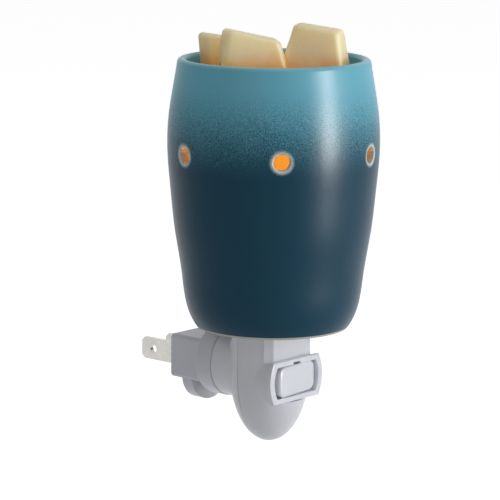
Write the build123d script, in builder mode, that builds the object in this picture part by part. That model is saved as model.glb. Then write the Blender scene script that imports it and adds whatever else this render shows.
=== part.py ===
from build123d import *
from math import cos, radians, sin, tan
import os

os.makedirs("parts", exist_ok=True)

# Plug-in wax melt warmer, in millimetres.
# The origin is the centre of the plug's flat back face. +Y runs into the wall, +Z is up,
# and the warmer stands out from the wall along -Y. A gap below is a distance out from that face.

# Wall plug
blade_spacing = 12.7
blade_thickness = 1.5
blade_reach = 17.5
blade_root = 8.0
live_blade_width = 6.35
neutral_blade_width = 7.94
blade_tip_chamfer = 1.3
blade_hole_diameter = 3.1
blade_hole_reach = 11.7
blade_tail_width = 3.0
blade_tail_reach = 0.8
plug_width = 20.6
plug_height = 16.0
plug_length = 14.6
plug_corner_radius = 1.6
plug_back_round = 0.5
lobe_radius = 10.0
lobe_drop = 6.2
lobe_gap = 5.4
lobe_thickness = 4.8
collar_radius = 13.1
collar_length = 7.3
collar_round = 0.6
hub_radius = 9.0
hub_length = 7.7
groove_depth = 1.1
retaining_ring_thickness = 1.0
retaining_ring_width = 2.9
retaining_ring_opening = 6.0

# Clearances
swivel_clearance = 0.1
swivel_end_clearance = 0.3
moving_clearance = 0.3
contact_gap = 0.3
part_clearance = 0.15
seat_clearance = 0.2
parting_gap = 0.2
overrun = 5.0

# Housing
lamp_axis_gap = 40.1
body_axis_gap = 39.0
seam_gap = 36.2
body_radius = 14.2
dome_top = -1.5
dome_depth = 25.4
dome_weights = (1.0, 0.7071, 1.0)
front_flat_gap = 49.55
housing_wall = 1.8
body_height = 17.2
flange_margin = 3.9
flange_thickness = 2.0
flange_step = 3.7
locating_collar_height = 5.3
holder_tube_radius = 9.0
holder_tube_height = 6.5
neck_radius = 12.8
neck_wall = 1.4
neck_web = 4.0
housing_round = 0.5
shelf_height = 7.3
shelf_thickness = 1.8
shelf_hole_radius = 5.5

# Housing screws
screw_spread = 10.2
upper_screw_height = 12.0
lower_screw_height = -19.5
screw_shank_radius = 1.2
screw_head_radius = 2.1
screw_head_height = 1.4
screw_length = 10.0
screw_post_radius = 2.4
screw_slot_width = 0.6
screw_slot_depth = 0.7
screw_seat_depth = 3.0

# Switch
switch_height = -2.7
bezel_gap = 52.0
bezel_half_width = 12.2
bezel_half_height = 7.6
bezel_bulge = 1.95
bezel_thickness = 1.4
bezel_bar = 1.9
opening_bulge = 1.6
bezel_round = 0.4
bezel_sleeve_wall = 0.7
bezel_sleeve_length = 3.8
bezel_notch_width = 3.8
bezel_notch_depth = 0.8
boss_inset = 0.6
rocker_side_clearance = 0.3
rocker_half_length = 11.1
rocker_face_half_length = 9.2
rocker_end_drop = 2.2
rocker_dish_depth = 1.1
rocker_pivot_gap = 45.2
rocker_plate_depth = 3.6
rocker_web_half_length = 2.6
rocker_web_reach = 1.6
rocker_edge_round = 0.9
rocker_corner_radius = 3.4
rocker_rest_angle = 6.0
trunnion_radius = 1.0
trunnion_clearance = 0.1
case_half_width = 10.2
case_half_height = 6.3
case_wall = 0.9
case_front_gap = 46.6
case_depth = 7.7
plunger_post_radius = 1.9
plunger_post_length = 2.6
plunger_radius = 0.9
plunger_tip_reach = 0.6
spring_wire_radius = 0.15
spring_turns = 4
lever_half_length = 5.8
lever_width = 4.0
lever_thickness = 0.5
lever_rest_angle = -3.0
terminal_thickness = 0.8
terminal_width = 4.8
terminal_tail = 3.0
terminal_contact_size = 1.8
load_terminal_offset = 5.2

# Swivel contacts and leads
carrier_thickness = 2.0
carrier_clearance = 0.1
contact_arc_thickness = 0.8
contact_arc_width = 2.8
contact_arc_margin = 8.0
swivel_range = 90.0
contact_post_width = 1.4
live_post_angle = 10.0
neutral_post_angle = 262.0
carrier_lug_width = 5.0
carrier_lug_thickness = 1.4
carrier_lug_radius = 8.2
carrier_peg_radius = 0.8
carrier_peg_head = 0.5
lead_radius = 0.6
lead_bend = 1.5
lead_height = 4.5
right_lead_offset = 8.6
left_lead_offset = 8.4
live_lead_offset = 3.2

# Lamp holder and bulb
holder_radius = 7.4
holder_wall = 0.9
holder_floor = 4.7
holder_lip_radius = 8.6
holder_lip_height = 1.0
screw_shell_thickness = 0.4
holder_tail_depth = 3.3
centre_tail_width = 3.0
shell_tail_width = 2.4
shell_tail_offset = 3.5
tail_thickness = 0.5
centre_contact_width = 3.6
centre_contact_thickness = 0.4
bulb_cap_clearance = 0.25
bulb_cap_thickness = 0.35
bulb_cap_length = 12.5
bulb_cap_bead = 0.18
bulb_cap_bead_pitch = 2.54
bulb_cap_bead_count = 4
bulb_insulator_height = 2.1
bulb_tip_radius = 1.8
bulb_tip_height = 0.7
bulb_length = 54.0
bulb_radius = 10.9
bulb_neck_radius = 5.4
bulb_glass_wall = 0.7
bulb_swell_share = 0.46
stem_radius = 1.6
stem_flare = 2.6
stem_height = 12.0
support_wire_radius = 0.3
support_wire_lift = 0.12
support_wire_reach = 9.0
filament_span = 4.2
filament_radius = 0.25

# Ceramic shade
shade_height = 95.5
shade_radius = 37.46
shade_wall = 3.2
foot_share = 0.7208
foot_ring_width = 3.6
foot_recess = 3.8
floor_thickness = 4.0
floor_hole_clearance = 0.8
lip_radius = 1.65
lip_share = 0.8676
dish_depth = 19.3
dish_floor_share = 0.6483
vent_count = 6
vent_radius = 2.95
vent_rise = 63.65
vent_start_angle = 45.7
vent_edge_round = 0.5

# Outline of the shade above its foot: shares of its height, and of its greatest radius
shade_outline_shares = [
    (0.031, 0.770),
    (0.204, 0.865),
    (0.361, 0.929),
    (0.518, 0.972),
    (0.654, 1.000),
    (0.800, 0.986),
    (0.915, 0.940),
]
# Inside of the dish: a share of the lip's inner radius with a share of the dish's depth
dish_wall_shares = (0.955, 0.52)
dish_turn_shares = (0.865, 0.86)

# Wax melts, placed on the dish by the way they are dropped in
wax_clearance = 0.3
wax_corner_radius = 2.4
wax_top_round = 1.6
wax_turn = -48.3
wax_left_size = (12.5, 10.5)
wax_left_place_shares = (-0.626, -0.340)
wax_left_turn = 24.0
wax_left_lean = -11.0
wax_left_taper = 4.0
wax_left_top = 6.9
wax_left_slope = 9.0
wax_middle_size = (22.4, 16.0)
wax_middle_place_shares = (-0.266, 0.065)
wax_middle_turn = 9.0
wax_middle_lean = -3.0
wax_middle_taper = 12.0
wax_middle_top = 8.4
wax_middle_slope = 12.5
wax_right_size = (21.3, 15.0)
wax_right_place_shares = (0.476, 0.032)
wax_right_turn = -12.0
wax_right_lean = 4.0
wax_right_taper = 12.0
wax_right_top = 11.2
wax_right_slope = 8.0

# Heights and axes worked out from the sizes above
plug_end = plug_length + collar_length
neck_gap = plug_end + swivel_end_clearance
web_gap = neck_gap + neck_web
ring_gap = web_gap + swivel_end_clearance
hub_end = plug_end + hub_length
contact_arc_gap = hub_end + blade_tail_reach + contact_gap
carrier_gap = contact_arc_gap + contact_arc_thickness
shelf_back = lamp_axis_gap - carrier_gap - carrier_thickness - moving_clearance
foot_radius = shade_radius * foot_share
flange_radius = foot_radius - foot_ring_width - flange_margin
locating_collar_radius = flange_radius - flange_step
flange_top = body_height + flange_thickness
collar_top = flange_top + locating_collar_height
tube_top = collar_top + holder_tube_height
core_top = collar_top - housing_wall
neck_inner_radius = neck_radius - neck_wall
bezel_seat_gap = bezel_gap - bezel_thickness
case_back = case_front_gap - case_depth
lead_gap = seam_gap + parting_gap + parting_gap
holder_height = tube_top + holder_lip_height - shelf_height
floor_level = shelf_height + holder_floor
shell_inner_radius = holder_radius - holder_wall - screw_shell_thickness
bulb_cap_radius = shell_inner_radius - bulb_cap_clearance
bulb_bottom = floor_level + 2 * centre_contact_thickness + contact_gap
bulb_cap_bottom = bulb_bottom + bulb_tip_height + bulb_insulator_height
bulb_cap_top = bulb_cap_bottom + bulb_cap_length
bulb_top = bulb_bottom + bulb_length
shade_foot_height = flange_top + seat_clearance - foot_recess
shade_top = shade_foot_height + shade_height
vent_height = shade_foot_height + vent_rise
shade_floor = shade_foot_height + foot_recess
lip_axis_radius = shade_radius * lip_share
dish_radius = lip_axis_radius - lip_radius
dish_floor_radius = dish_radius * dish_floor_share
dish_seam_radius = dish_radius * dish_turn_shares[0]
dish_floor = shade_top - dish_depth

body_axis = Axis((0, -body_axis_gap, 0), (0, 0, 1))
lamp_axis = Axis((0, -lamp_axis_gap, 0), (0, 0, 1))
body_profile = Plane.XZ.offset(body_axis_gap)
lamp_profile = Plane.XZ.offset(lamp_axis_gap)


def lamp_level(height):
    """Level plane centred on the lamp's axis."""
    return Plane((0, -lamp_axis_gap, height))


def bulging_outline(half_width, half_height, bulge):
    """Face with a flat top and bottom and bulging sides, as seen from the front."""
    with BuildSketch() as outline:
        with BuildLine():
            Line((-half_width, half_height), (half_width, half_height))
            ThreePointArc((half_width, half_height), (half_width + bulge, 0), (half_width, -half_height))
            Line((half_width, -half_height), (-half_width, -half_height))
            ThreePointArc((-half_width, -half_height), (-half_width - bulge, 0), (-half_width, half_height))
        make_face()
    return outline.sketch


def dome_points(inset):
    """Control points of a quarter ellipse from the dome's bottom to its side."""
    bottom = dome_top - dome_depth + inset
    radius = body_radius - inset
    return (0, bottom), (radius, bottom), (radius, dome_top)


def shade_radius_points(inset=0.0):
    """Points up the shade's side, moved inward by an inset."""
    return [
        (shade_radius * radius_share - inset, shade_foot_height + shade_height * height_share)
        for height_share, radius_share in shade_outline_shares
    ]


def dish_outline():
    """Half section of the space inside the dish, from its lip to its floor."""
    lip = (dish_radius, shade_top - lip_radius)
    wall = (dish_radius * dish_wall_shares[0], shade_top - dish_depth * dish_wall_shares[1])
    turn = (dish_radius * dish_turn_shares[0], shade_top - dish_depth * dish_turn_shares[1])
    with BuildSketch() as outline:
        with BuildLine():
            Line((0, dish_floor), (dish_floor_radius, dish_floor))
            ThreePointArc((dish_floor_radius, dish_floor), turn, wall)
            Line(wall, lip)
            Line(lip, (dish_radius, shade_top + overrun))
            Line((dish_radius, shade_top + overrun), (0, shade_top + overrun))
            Line((0, shade_top + overrun), (0, dish_floor))
        make_face()
    return outline.sketch


# Plug body: block, lobe, round collar and swivel hub, with slots for the blades
blade_faces = ((1, live_blade_width), (-1, neutral_blade_width))

with BuildPart() as plug_body:
    with BuildSketch(Plane.XZ):
        RectangleRounded(plug_width, plug_height, plug_corner_radius)
    extrude(amount=plug_length)
    fillet(plug_body.faces().sort_by(Axis.Y)[-1].edges(), plug_back_round)
    with BuildSketch(Plane.XZ.offset(lobe_gap)):
        with Locations((0, -lobe_drop)):
            Circle(lobe_radius)
    extrude(amount=lobe_thickness)
    with BuildSketch(Plane.XZ.offset(plug_length)):
        Circle(collar_radius)
    extrude(amount=collar_length)
    collar_edges = plug_body.edges().filter_by(GeomType.CIRCLE).filter_by(
        lambda edge: abs(edge.radius - collar_radius) < collar_round
    )
    fillet(collar_edges, collar_round)
    with BuildSketch(Plane.XZ.offset(plug_end)):
        Circle(hub_radius)
    extrude(amount=hub_length)
    with BuildSketch(Plane.XZ.offset(ring_gap)):
        Circle(hub_radius + overrun)
        Circle(hub_radius - groove_depth, mode=Mode.SUBTRACT)
    extrude(amount=retaining_ring_thickness, mode=Mode.SUBTRACT)
    for side, width in blade_faces:
        with BuildSketch(Plane.XZ):
            with Locations((side * blade_spacing / 2, 0)):
                Rectangle(blade_thickness, width)
        extrude(amount=blade_root, mode=Mode.SUBTRACT)
        with BuildSketch(Plane.XZ):
            with Locations((side * blade_spacing / 2, 0)):
                Rectangle(blade_thickness, blade_tail_width)
        extrude(amount=hub_end, mode=Mode.SUBTRACT)
plug_body.part.label = "plug_body"
export_step(plug_body.part, "parts/plug_body.step")


def blade_outline(width):
    """Side view of a blade: a chamfered tip, a hole and a narrow contact tail."""
    tail_end = -(hub_end + blade_tail_reach)
    with BuildSketch() as outline:
        with BuildLine():
            Polyline(
                (tail_end, -blade_tail_width / 2),
                (-blade_root, -blade_tail_width / 2),
                (-blade_root, -width / 2),
                (blade_reach - blade_tip_chamfer, -width / 2),
                (blade_reach, -width / 2 + blade_tip_chamfer),
                (blade_reach, width / 2 - blade_tip_chamfer),
                (blade_reach - blade_tip_chamfer, width / 2),
                (-blade_root, width / 2),
                (-blade_root, blade_tail_width / 2),
                (tail_end, blade_tail_width / 2),
                close=True,
            )
        make_face()
        with Locations((blade_hole_reach, 0)):
            Circle(blade_hole_diameter / 2, mode=Mode.SUBTRACT)
    return outline.sketch


with BuildPart() as live_blade:
    with BuildSketch(Plane.YZ.offset(blade_spacing / 2)):
        add(blade_outline(live_blade_width))
    extrude(amount=blade_thickness / 2, both=True)
live_blade.part.label = "live_blade"
export_step(live_blade.part, "parts/live_blade.step")

with BuildPart() as neutral_blade:
    with BuildSketch(Plane.YZ.offset(-blade_spacing / 2)):
        add(blade_outline(neutral_blade_width))
    extrude(amount=blade_thickness / 2, both=True)
neutral_blade.part.label = "neutral_blade"
export_step(neutral_blade.part, "parts/neutral_blade.step")

# Open spring ring that holds the hub in the housing's neck
with BuildPart() as plug_retaining_ring:
    with BuildSketch(Plane.XZ.offset(ring_gap)):
        Circle(hub_radius - groove_depth + retaining_ring_width)
        Circle(hub_radius - groove_depth, mode=Mode.SUBTRACT)
        with Locations((0, -hub_radius)):
            Rectangle(retaining_ring_opening, hub_radius, mode=Mode.SUBTRACT)
    extrude(amount=retaining_ring_thickness)
plug_retaining_ring.part.label = "plug_retaining_ring"
export_step(plug_retaining_ring.part, "parts/plug_retaining_ring.step")

# Outlines around the switch opening
opening_half_width = bezel_half_width - bezel_bar
opening_half_height = bezel_half_height - bezel_bar
sleeve_half_width = opening_half_width + bezel_sleeve_wall
sleeve_half_height = opening_half_height + bezel_sleeve_wall
sleeve_outline = bulging_outline(sleeve_half_width, sleeve_half_height, opening_bulge)
sleeve_hole_outline = bulging_outline(
    sleeve_half_width + part_clearance, sleeve_half_height + part_clearance, opening_bulge
)
bezel_seat_outline = bulging_outline(
    bezel_half_width + part_clearance, bezel_half_height + part_clearance, bezel_bulge
)

# Outside of the housing: domed column, seat flange, locating collar, lamp tube, neck and switch boss
with BuildPart() as housing_outside:
    with BuildSketch(body_profile):
        with BuildLine():
            Bezier(*dome_points(0), weights=dome_weights)
            Line((body_radius, dome_top), (body_radius, body_height))
            Line((body_radius, body_height), (0, body_height))
            Line((0, body_height), (0, dome_top - dome_depth))
        make_face()
    revolve(axis=body_axis)
    with BuildSketch(Plane.XZ.offset(front_flat_gap)):
        with Locations((0, (switch_height + body_height) / 2)):
            Rectangle(2 * body_radius, body_height - switch_height)
    extrude(amount=body_radius, mode=Mode.SUBTRACT)
    with BuildSketch(Plane.XZ.offset(neck_gap)):
        Circle(neck_radius)
    extrude(amount=body_axis_gap - neck_gap)
    with BuildSketch(Plane.XZ.offset(body_axis_gap)):
        with Locations((0, switch_height)):
            add(bulging_outline(bezel_half_width - boss_inset, bezel_half_height - boss_inset, bezel_bulge))
    extrude(amount=bezel_seat_gap - body_axis_gap)
    with BuildSketch(Plane.XZ.offset(bezel_seat_gap)):
        with Locations((0, switch_height)):
            add(bezel_seat_outline)
    extrude(amount=body_radius, mode=Mode.SUBTRACT)
    with BuildSketch(lamp_level(body_height)):
        Circle(flange_radius)
    extrude(amount=flange_thickness)
    flange_edges = housing_outside.edges().filter_by(GeomType.CIRCLE).filter_by(
        lambda edge: abs(edge.radius - flange_radius) < housing_round
    )
    fillet(flange_edges, housing_round)
    with BuildSketch(lamp_level(flange_top)):
        Circle(locating_collar_radius)
    extrude(amount=locating_collar_height)
    fillet(housing_outside.faces().sort_by(Axis.Z)[-1].edges(), housing_round)
    with BuildSketch(lamp_level(collar_top)):
        Circle(holder_tube_radius)
    extrude(amount=holder_tube_height)

# Shelf, screw posts and contact lugs that stay in the space inside the housing
screw_places = [
    (-screw_spread, upper_screw_height),
    (screw_spread, upper_screw_height),
    (0, lower_screw_height),
]

with BuildPart() as housing_ribs:
    with BuildSketch(lamp_level(shelf_height)):
        Circle(body_radius + overrun)
        Circle(shelf_hole_radius, mode=Mode.SUBTRACT)
        with Locations((0, shelf_back + body_radius)):
            Rectangle(2 * (body_radius + overrun), 2 * body_radius, mode=Mode.SUBTRACT)
    extrude(amount=-shelf_thickness)
    with BuildSketch(Plane.XZ.offset(neck_gap)):
        with Locations(screw_places):
            Circle(screw_post_radius)
    extrude(amount=front_flat_gap - neck_gap)
    with BuildSketch(Plane.XZ.offset(carrier_gap - carrier_lug_thickness)):
        Rectangle(2 * neck_radius, carrier_lug_width)
        Circle(carrier_lug_radius, mode=Mode.SUBTRACT)
    extrude(amount=carrier_lug_thickness)

# Space inside the housing
with BuildPart() as housing_inside:
    with BuildSketch(body_profile):
        with BuildLine():
            Bezier(*dome_points(housing_wall), weights=dome_weights)
            Line((body_radius - housing_wall, dome_top), (body_radius - housing_wall, core_top))
            Line((body_radius - housing_wall, core_top), (0, core_top))
            Line((0, core_top), (0, dome_top - dome_depth + housing_wall))
        make_face()
    revolve(axis=body_axis)
    with BuildSketch(Plane.XZ.offset(front_flat_gap - housing_wall)):
        with Locations((0, (switch_height - bezel_half_height + core_top + overrun) / 2)):
            Rectangle(2 * body_radius, core_top + overrun - switch_height + bezel_half_height)
    extrude(amount=body_radius, mode=Mode.SUBTRACT)
    with BuildSketch(Plane.XZ.offset(web_gap)):
        Circle(neck_inner_radius)
    extrude(amount=body_axis_gap - web_gap)
    with BuildSketch(Plane.XZ.offset(neck_gap)):
        Circle(hub_radius + swivel_clearance)
    extrude(amount=neck_web)
    with BuildSketch(lamp_level(core_top)):
        Circle(holder_radius + part_clearance)
    extrude(amount=tube_top - core_top)
    add(housing_ribs.part, mode=Mode.SUBTRACT)

screw_seat_gap = seam_gap - screw_seat_depth

# Whole housing before it is parted into two shells
with BuildPart() as housing:
    add(housing_outside.part)
    add(housing_inside.part, mode=Mode.SUBTRACT)
    with BuildSketch(Plane.XZ.offset(screw_seat_gap)):
        with Locations(screw_places):
            Circle(screw_head_radius + part_clearance)
    extrude(amount=-(screw_seat_gap - neck_gap), mode=Mode.SUBTRACT)
    with BuildSketch(Plane.XZ.offset(screw_seat_gap)):
        with Locations(screw_places):
            Circle(screw_shank_radius + parting_gap / 2)
    extrude(amount=screw_length + part_clearance, mode=Mode.SUBTRACT)
    with BuildSketch(Plane.XZ.offset(body_axis_gap)):
        with Locations((0, switch_height)):
            Rectangle(2 * (case_half_width + part_clearance), 2 * (case_half_height + part_clearance))
    extrude(amount=case_front_gap - body_axis_gap, mode=Mode.SUBTRACT)
    with BuildSketch(Plane.XZ.offset(case_front_gap)):
        with Locations((0, switch_height)):
            add(sleeve_hole_outline)
    extrude(amount=body_radius, mode=Mode.SUBTRACT)

carrier_pegs = [
    (side * (neck_inner_radius + carrier_lug_radius) / 2, 0)
    for side in (-1, 1)
]

# Rear shell with the neck, parted just behind the seam
with BuildPart() as rear_housing:
    add(housing.part)
    split(bisect_by=Plane.XZ.offset(seam_gap - parting_gap / 2), keep=Keep.BOTTOM)
    with BuildSketch(Plane.XZ.offset(carrier_gap)):
        with Locations(carrier_pegs):
            Circle(carrier_peg_radius)
    extrude(amount=carrier_thickness + carrier_peg_head)
rear_housing.part.label = "rear_housing"
export_step(rear_housing.part, "parts/rear_housing.step")

# Front shell with the flat front and the switch boss
with BuildPart() as front_housing:
    add(housing.part)
    split(bisect_by=Plane.XZ.offset(seam_gap + parting_gap / 2), keep=Keep.TOP)
front_housing.part.label = "front_housing"
export_step(front_housing.part, "parts/front_housing.step")

# Screws that draw the shells together from behind
with BuildPart() as housing_screws:
    with BuildSketch(Plane.XZ.offset(screw_seat_gap)):
        with Locations(screw_places):
            Circle(screw_shank_radius)
    extrude(amount=screw_length)
    with BuildSketch(Plane.XZ.offset(screw_seat_gap)):
        with Locations(screw_places):
            Circle(screw_head_radius)
    extrude(amount=-screw_head_height)
    with BuildSketch(Plane.XZ.offset(screw_seat_gap - screw_head_height)):
        with Locations(screw_places):
            Rectangle(screw_slot_width, 2 * screw_head_radius)
            Rectangle(2 * screw_head_radius, screw_slot_width)
    extrude(amount=screw_slot_depth, mode=Mode.SUBTRACT)
housing_screws.part.label = "housing_screws"
export_step(housing_screws.part, "parts/housing_screws.step")

# Frame around the rocker, with a sleeve that fits the boss
with BuildPart() as switch_bezel:
    with BuildSketch(Plane.XZ.offset(bezel_seat_gap)):
        with Locations((0, switch_height)):
            add(bulging_outline(bezel_half_width, bezel_half_height, bezel_bulge))
    extrude(amount=bezel_thickness)
    fillet(switch_bezel.faces().sort_by(Axis.Y)[0].edges(), bezel_round)
    with BuildSketch(Plane.XZ.offset(bezel_seat_gap)):
        with Locations((0, switch_height)):
            add(sleeve_outline)
    extrude(amount=-bezel_sleeve_length)
    with BuildSketch(Plane.XZ.offset(bezel_gap)):
        with Locations((0, switch_height)):
            add(bulging_outline(opening_half_width, opening_half_height, opening_bulge))
        with Locations((0, switch_height + opening_half_height)):
            Rectangle(bezel_notch_width, 2 * bezel_notch_depth)
    extrude(amount=-(bezel_thickness + bezel_sleeve_length), mode=Mode.SUBTRACT)
switch_bezel.part.label = "switch_bezel"
export_step(switch_bezel.part, "parts/switch_bezel.step")

# Switch case: an open box with bearing holes for the rocker's trunnions
with BuildPart() as switch_case:
    with BuildSketch(Plane.XZ.offset(case_back)):
        with Locations((0, switch_height)):
            Rectangle(2 * case_half_width, 2 * case_half_height)
    extrude(amount=case_depth)
    with BuildSketch(Plane.XZ.offset(case_back + case_wall)):
        with Locations((0, switch_height)):
            Rectangle(2 * (case_half_width - case_wall), 2 * (case_half_height - case_wall))
    extrude(amount=case_depth, mode=Mode.SUBTRACT)
    with BuildSketch(Plane((0, -rocker_pivot_gap, switch_height))):
        Circle(trunnion_radius + trunnion_clearance)
    extrude(amount=case_half_height, both=True, mode=Mode.SUBTRACT)
    with BuildSketch(Plane.XZ.offset(case_back)):
        with Locations((0, switch_height), (-load_terminal_offset, switch_height)):
            Rectangle(terminal_thickness, terminal_width)
    extrude(amount=case_wall, mode=Mode.SUBTRACT)
switch_case.part.label = "switch_case"
export_step(switch_case.part, "parts/switch_case.step")

# Rocker, drawn on a plane turned to its pressed position, with the right end in
rocker_turn = radians(rocker_rest_angle)
rocker_plan = Plane(
    (0, -rocker_pivot_gap, switch_height), x_dir=(cos(rocker_turn), sin(rocker_turn), 0), z_dir=(0, 0, 1)
)
rocker_front = Plane(
    (0, -rocker_pivot_gap, switch_height),
    x_dir=(cos(rocker_turn), sin(rocker_turn), 0),
    z_dir=(sin(rocker_turn), -cos(rocker_turn), 0),
)
rocker_face = bezel_gap - rocker_pivot_gap
rocker_half_height = opening_half_height - rocker_side_clearance
rocker_back = rocker_face - rocker_plate_depth

with BuildPart() as switch_rocker:
    with BuildSketch(rocker_plan):
        with BuildLine():
            ThreePointArc(
                (-rocker_face_half_length, -rocker_face),
                (0, -rocker_face + rocker_dish_depth),
                (rocker_face_half_length, -rocker_face),
            )
            Polyline(
                (rocker_face_half_length, -rocker_face),
                (rocker_half_length, -rocker_face + rocker_end_drop),
                (rocker_half_length, -rocker_back),
                (-rocker_half_length, -rocker_back),
                (-rocker_half_length, -rocker_face + rocker_end_drop),
                (-rocker_face_half_length, -rocker_face),
            )
        make_face()
    extrude(amount=rocker_half_height, both=True)
    with BuildSketch(rocker_front) as rocker_mask:
        add(bulging_outline(opening_half_width, rocker_half_height, rocker_half_length - opening_half_width))
        fillet(rocker_mask.vertices(), rocker_corner_radius)
    extrude(amount=rocker_face, mode=Mode.INTERSECT)
    fillet(
        switch_rocker.edges().filter_by(GeomType.CIRCLE).sort_by(Axis.Y)[:2], rocker_edge_round
    )
    with BuildSketch(rocker_plan):
        with Locations((0, (rocker_web_reach - rocker_back) / 2)):
            Rectangle(2 * rocker_web_half_length, rocker_back + rocker_web_reach)
    extrude(amount=case_half_height - case_wall - rocker_side_clearance, both=True)
    with BuildSketch(rocker_plan):
        Circle(trunnion_radius)
    extrude(amount=case_half_height - part_clearance, both=True)
    with BuildSketch(rocker_front):
        Circle(plunger_post_radius)
    extrude(amount=-plunger_post_length)
    with BuildSketch(rocker_front):
        Circle(plunger_radius + part_clearance)
    extrude(amount=-plunger_post_length, mode=Mode.SUBTRACT)
switch_rocker.part.label = "switch_rocker"
export_step(switch_rocker.part, "parts/switch_rocker.step")

# Plunger that slides in the rocker's post, and the spring behind it
plunger_length = plunger_post_length / 2 + plunger_tip_reach
plunger_start = plunger_post_length - plunger_post_length / 2

with BuildPart() as rocker_plunger:
    with BuildSketch(rocker_front.offset(-plunger_start)):
        Circle(plunger_radius)
    extrude(amount=-plunger_length)
    fillet(rocker_plunger.faces().sort_by(Axis.Y)[-1].edges(), plunger_radius / 2)
rocker_plunger.part.label = "rocker_plunger"
export_step(rocker_plunger.part, "parts/rocker_plunger.step")

spring_length = plunger_start - 2 * spring_wire_radius
spring_coil_radius = plunger_radius - spring_wire_radius
spring_start = rocker_front.offset(-(plunger_start - spring_wire_radius))

with BuildPart() as rocker_spring:
    with BuildLine() as spring_path:
        Helix(
            spring_length / spring_turns, spring_length, spring_coil_radius,
            center=spring_start.origin, direction=spring_start.z_dir,
        )
    with BuildSketch(Plane(origin=spring_path.line @ 0, z_dir=spring_path.line % 0)):
        Circle(spring_wire_radius)
    sweep(is_frenet=True)
rocker_spring.part.label = "rocker_spring"
export_step(rocker_spring.part, "parts/rocker_spring.step")

# Rocking contact lever, tilted the other way from the rocker
plunger_end = rocker_pivot_gap - plunger_start - plunger_length
lever_turn = radians(lever_rest_angle)
lever_front_gap = plunger_end - moving_clearance
lever_plan = Plane(
    (0, -lever_front_gap, switch_height), x_dir=(cos(lever_turn), sin(lever_turn), 0), z_dir=(0, 0, 1)
)

with BuildPart() as contact_lever:
    with BuildSketch(lever_plan):
        with Locations((0, lever_thickness / 2)):
            Rectangle(2 * lever_half_length, lever_thickness)
    extrude(amount=lever_width / 2, both=True)
contact_lever.part.label = "contact_lever"
export_step(contact_lever.part, "parts/contact_lever.step")

# Terminals: a contact inside the case and a tail behind it
lever_back_gap = lever_front_gap - lever_thickness
lever_swing = (lever_half_length + lever_thickness) * sin(abs(lever_turn))
terminal_heads = {
    "line": (0, lever_back_gap - contact_gap),
    "load": (-load_terminal_offset, lever_back_gap - lever_swing - contact_gap),
}


def terminal(place, head_gap):
    """Contact head, stem and tail of one switch terminal."""
    inner_wall_gap = case_back + case_wall
    with BuildSketch(Plane.XZ.offset(case_back - terminal_tail)) as tail:
        with Locations((place, switch_height)):
            Rectangle(terminal_thickness, terminal_width)
    extrude(tail.sketch, amount=terminal_tail + case_wall)
    with BuildSketch(Plane.XZ.offset(inner_wall_gap)) as head:
        with Locations((place, switch_height)):
            Rectangle(terminal_contact_size, terminal_width)
    extrude(head.sketch, amount=head_gap - inner_wall_gap)


with BuildPart() as line_terminal:
    terminal(*terminal_heads["line"])
line_terminal.part.label = "line_terminal"
export_step(line_terminal.part, "parts/line_terminal.step")

with BuildPart() as load_terminal:
    terminal(*terminal_heads["load"])
load_terminal.part.label = "load_terminal"
export_step(load_terminal.part, "parts/load_terminal.step")

# Insulating disc in the neck that carries the swivel's contact arcs
contact_middle_radius = blade_spacing / 2
live_post = (
    contact_middle_radius * cos(radians(live_post_angle)),
    contact_middle_radius * sin(radians(live_post_angle)),
)
neutral_post = (
    contact_middle_radius * cos(radians(neutral_post_angle)),
    contact_middle_radius * sin(radians(neutral_post_angle)),
)

with BuildPart() as contact_carrier:
    with BuildSketch(Plane.XZ.offset(carrier_gap)):
        Circle(neck_inner_radius - carrier_clearance)
        with Locations(carrier_pegs):
            Circle(carrier_peg_radius, mode=Mode.SUBTRACT)
        with Locations(live_post, neutral_post):
            Rectangle(contact_post_width, contact_post_width, mode=Mode.SUBTRACT)
    extrude(amount=carrier_thickness)
    with BuildSketch(lamp_level(shelf_height - moving_clearance)):
        Circle(holder_radius + moving_clearance)
    extrude(amount=neck_radius, mode=Mode.SUBTRACT)
contact_carrier.part.label = "contact_carrier"
export_step(contact_carrier.part, "parts/contact_carrier.step")


def contact_arc(middle_angle, post):
    """Brass arc that a blade's tail rubs on, with a post through the carrier."""
    sweep_angle = swivel_range + 2 * contact_arc_margin
    with BuildSketch(Plane.XZ.offset(contact_arc_gap)) as strip:
        with BuildLine() as arc_path:
            CenterArc((0, 0), contact_middle_radius, middle_angle - sweep_angle / 2, sweep_angle)
        trace(arc_path.line, contact_arc_width)
    extrude(strip.sketch, amount=contact_arc_thickness)
    with BuildSketch(Plane.XZ.offset(carrier_gap)) as stem:
        with Locations(post):
            Rectangle(contact_post_width, contact_post_width)
    extrude(stem.sketch, amount=lead_gap + lead_radius - carrier_gap)


with BuildPart() as live_contact_arc:
    contact_arc(swivel_range / 2, live_post)
live_contact_arc.part.label = "live_contact_arc"
export_step(live_contact_arc.part, "parts/live_contact_arc.step")

with BuildPart() as neutral_contact_arc:
    contact_arc(180 + swivel_range / 2, neutral_post)
neutral_contact_arc.part.label = "neutral_contact_arc"
export_step(neutral_contact_arc.part, "parts/neutral_contact_arc.step")

# Lamp holder: an insulating cup with slots for its two tails
with BuildPart() as lamp_holder:
    with BuildSketch(lamp_level(shelf_height)):
        Circle(holder_radius)
    extrude(amount=holder_height)
    with BuildSketch(lamp_level(tube_top)):
        Circle(holder_lip_radius)
    extrude(amount=holder_lip_height)
    with BuildSketch(lamp_level(floor_level)):
        Circle(holder_radius - holder_wall)
    extrude(amount=holder_height, mode=Mode.SUBTRACT)
    with BuildSketch(lamp_level(shelf_height)):
        Rectangle(tail_thickness, centre_tail_width)
        with Locations((0, shell_tail_offset)):
            Rectangle(tail_thickness, shell_tail_width)
    extrude(amount=holder_floor, mode=Mode.SUBTRACT)
lamp_holder.part.label = "lamp_holder"
export_step(lamp_holder.part, "parts/lamp_holder.step")

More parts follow.
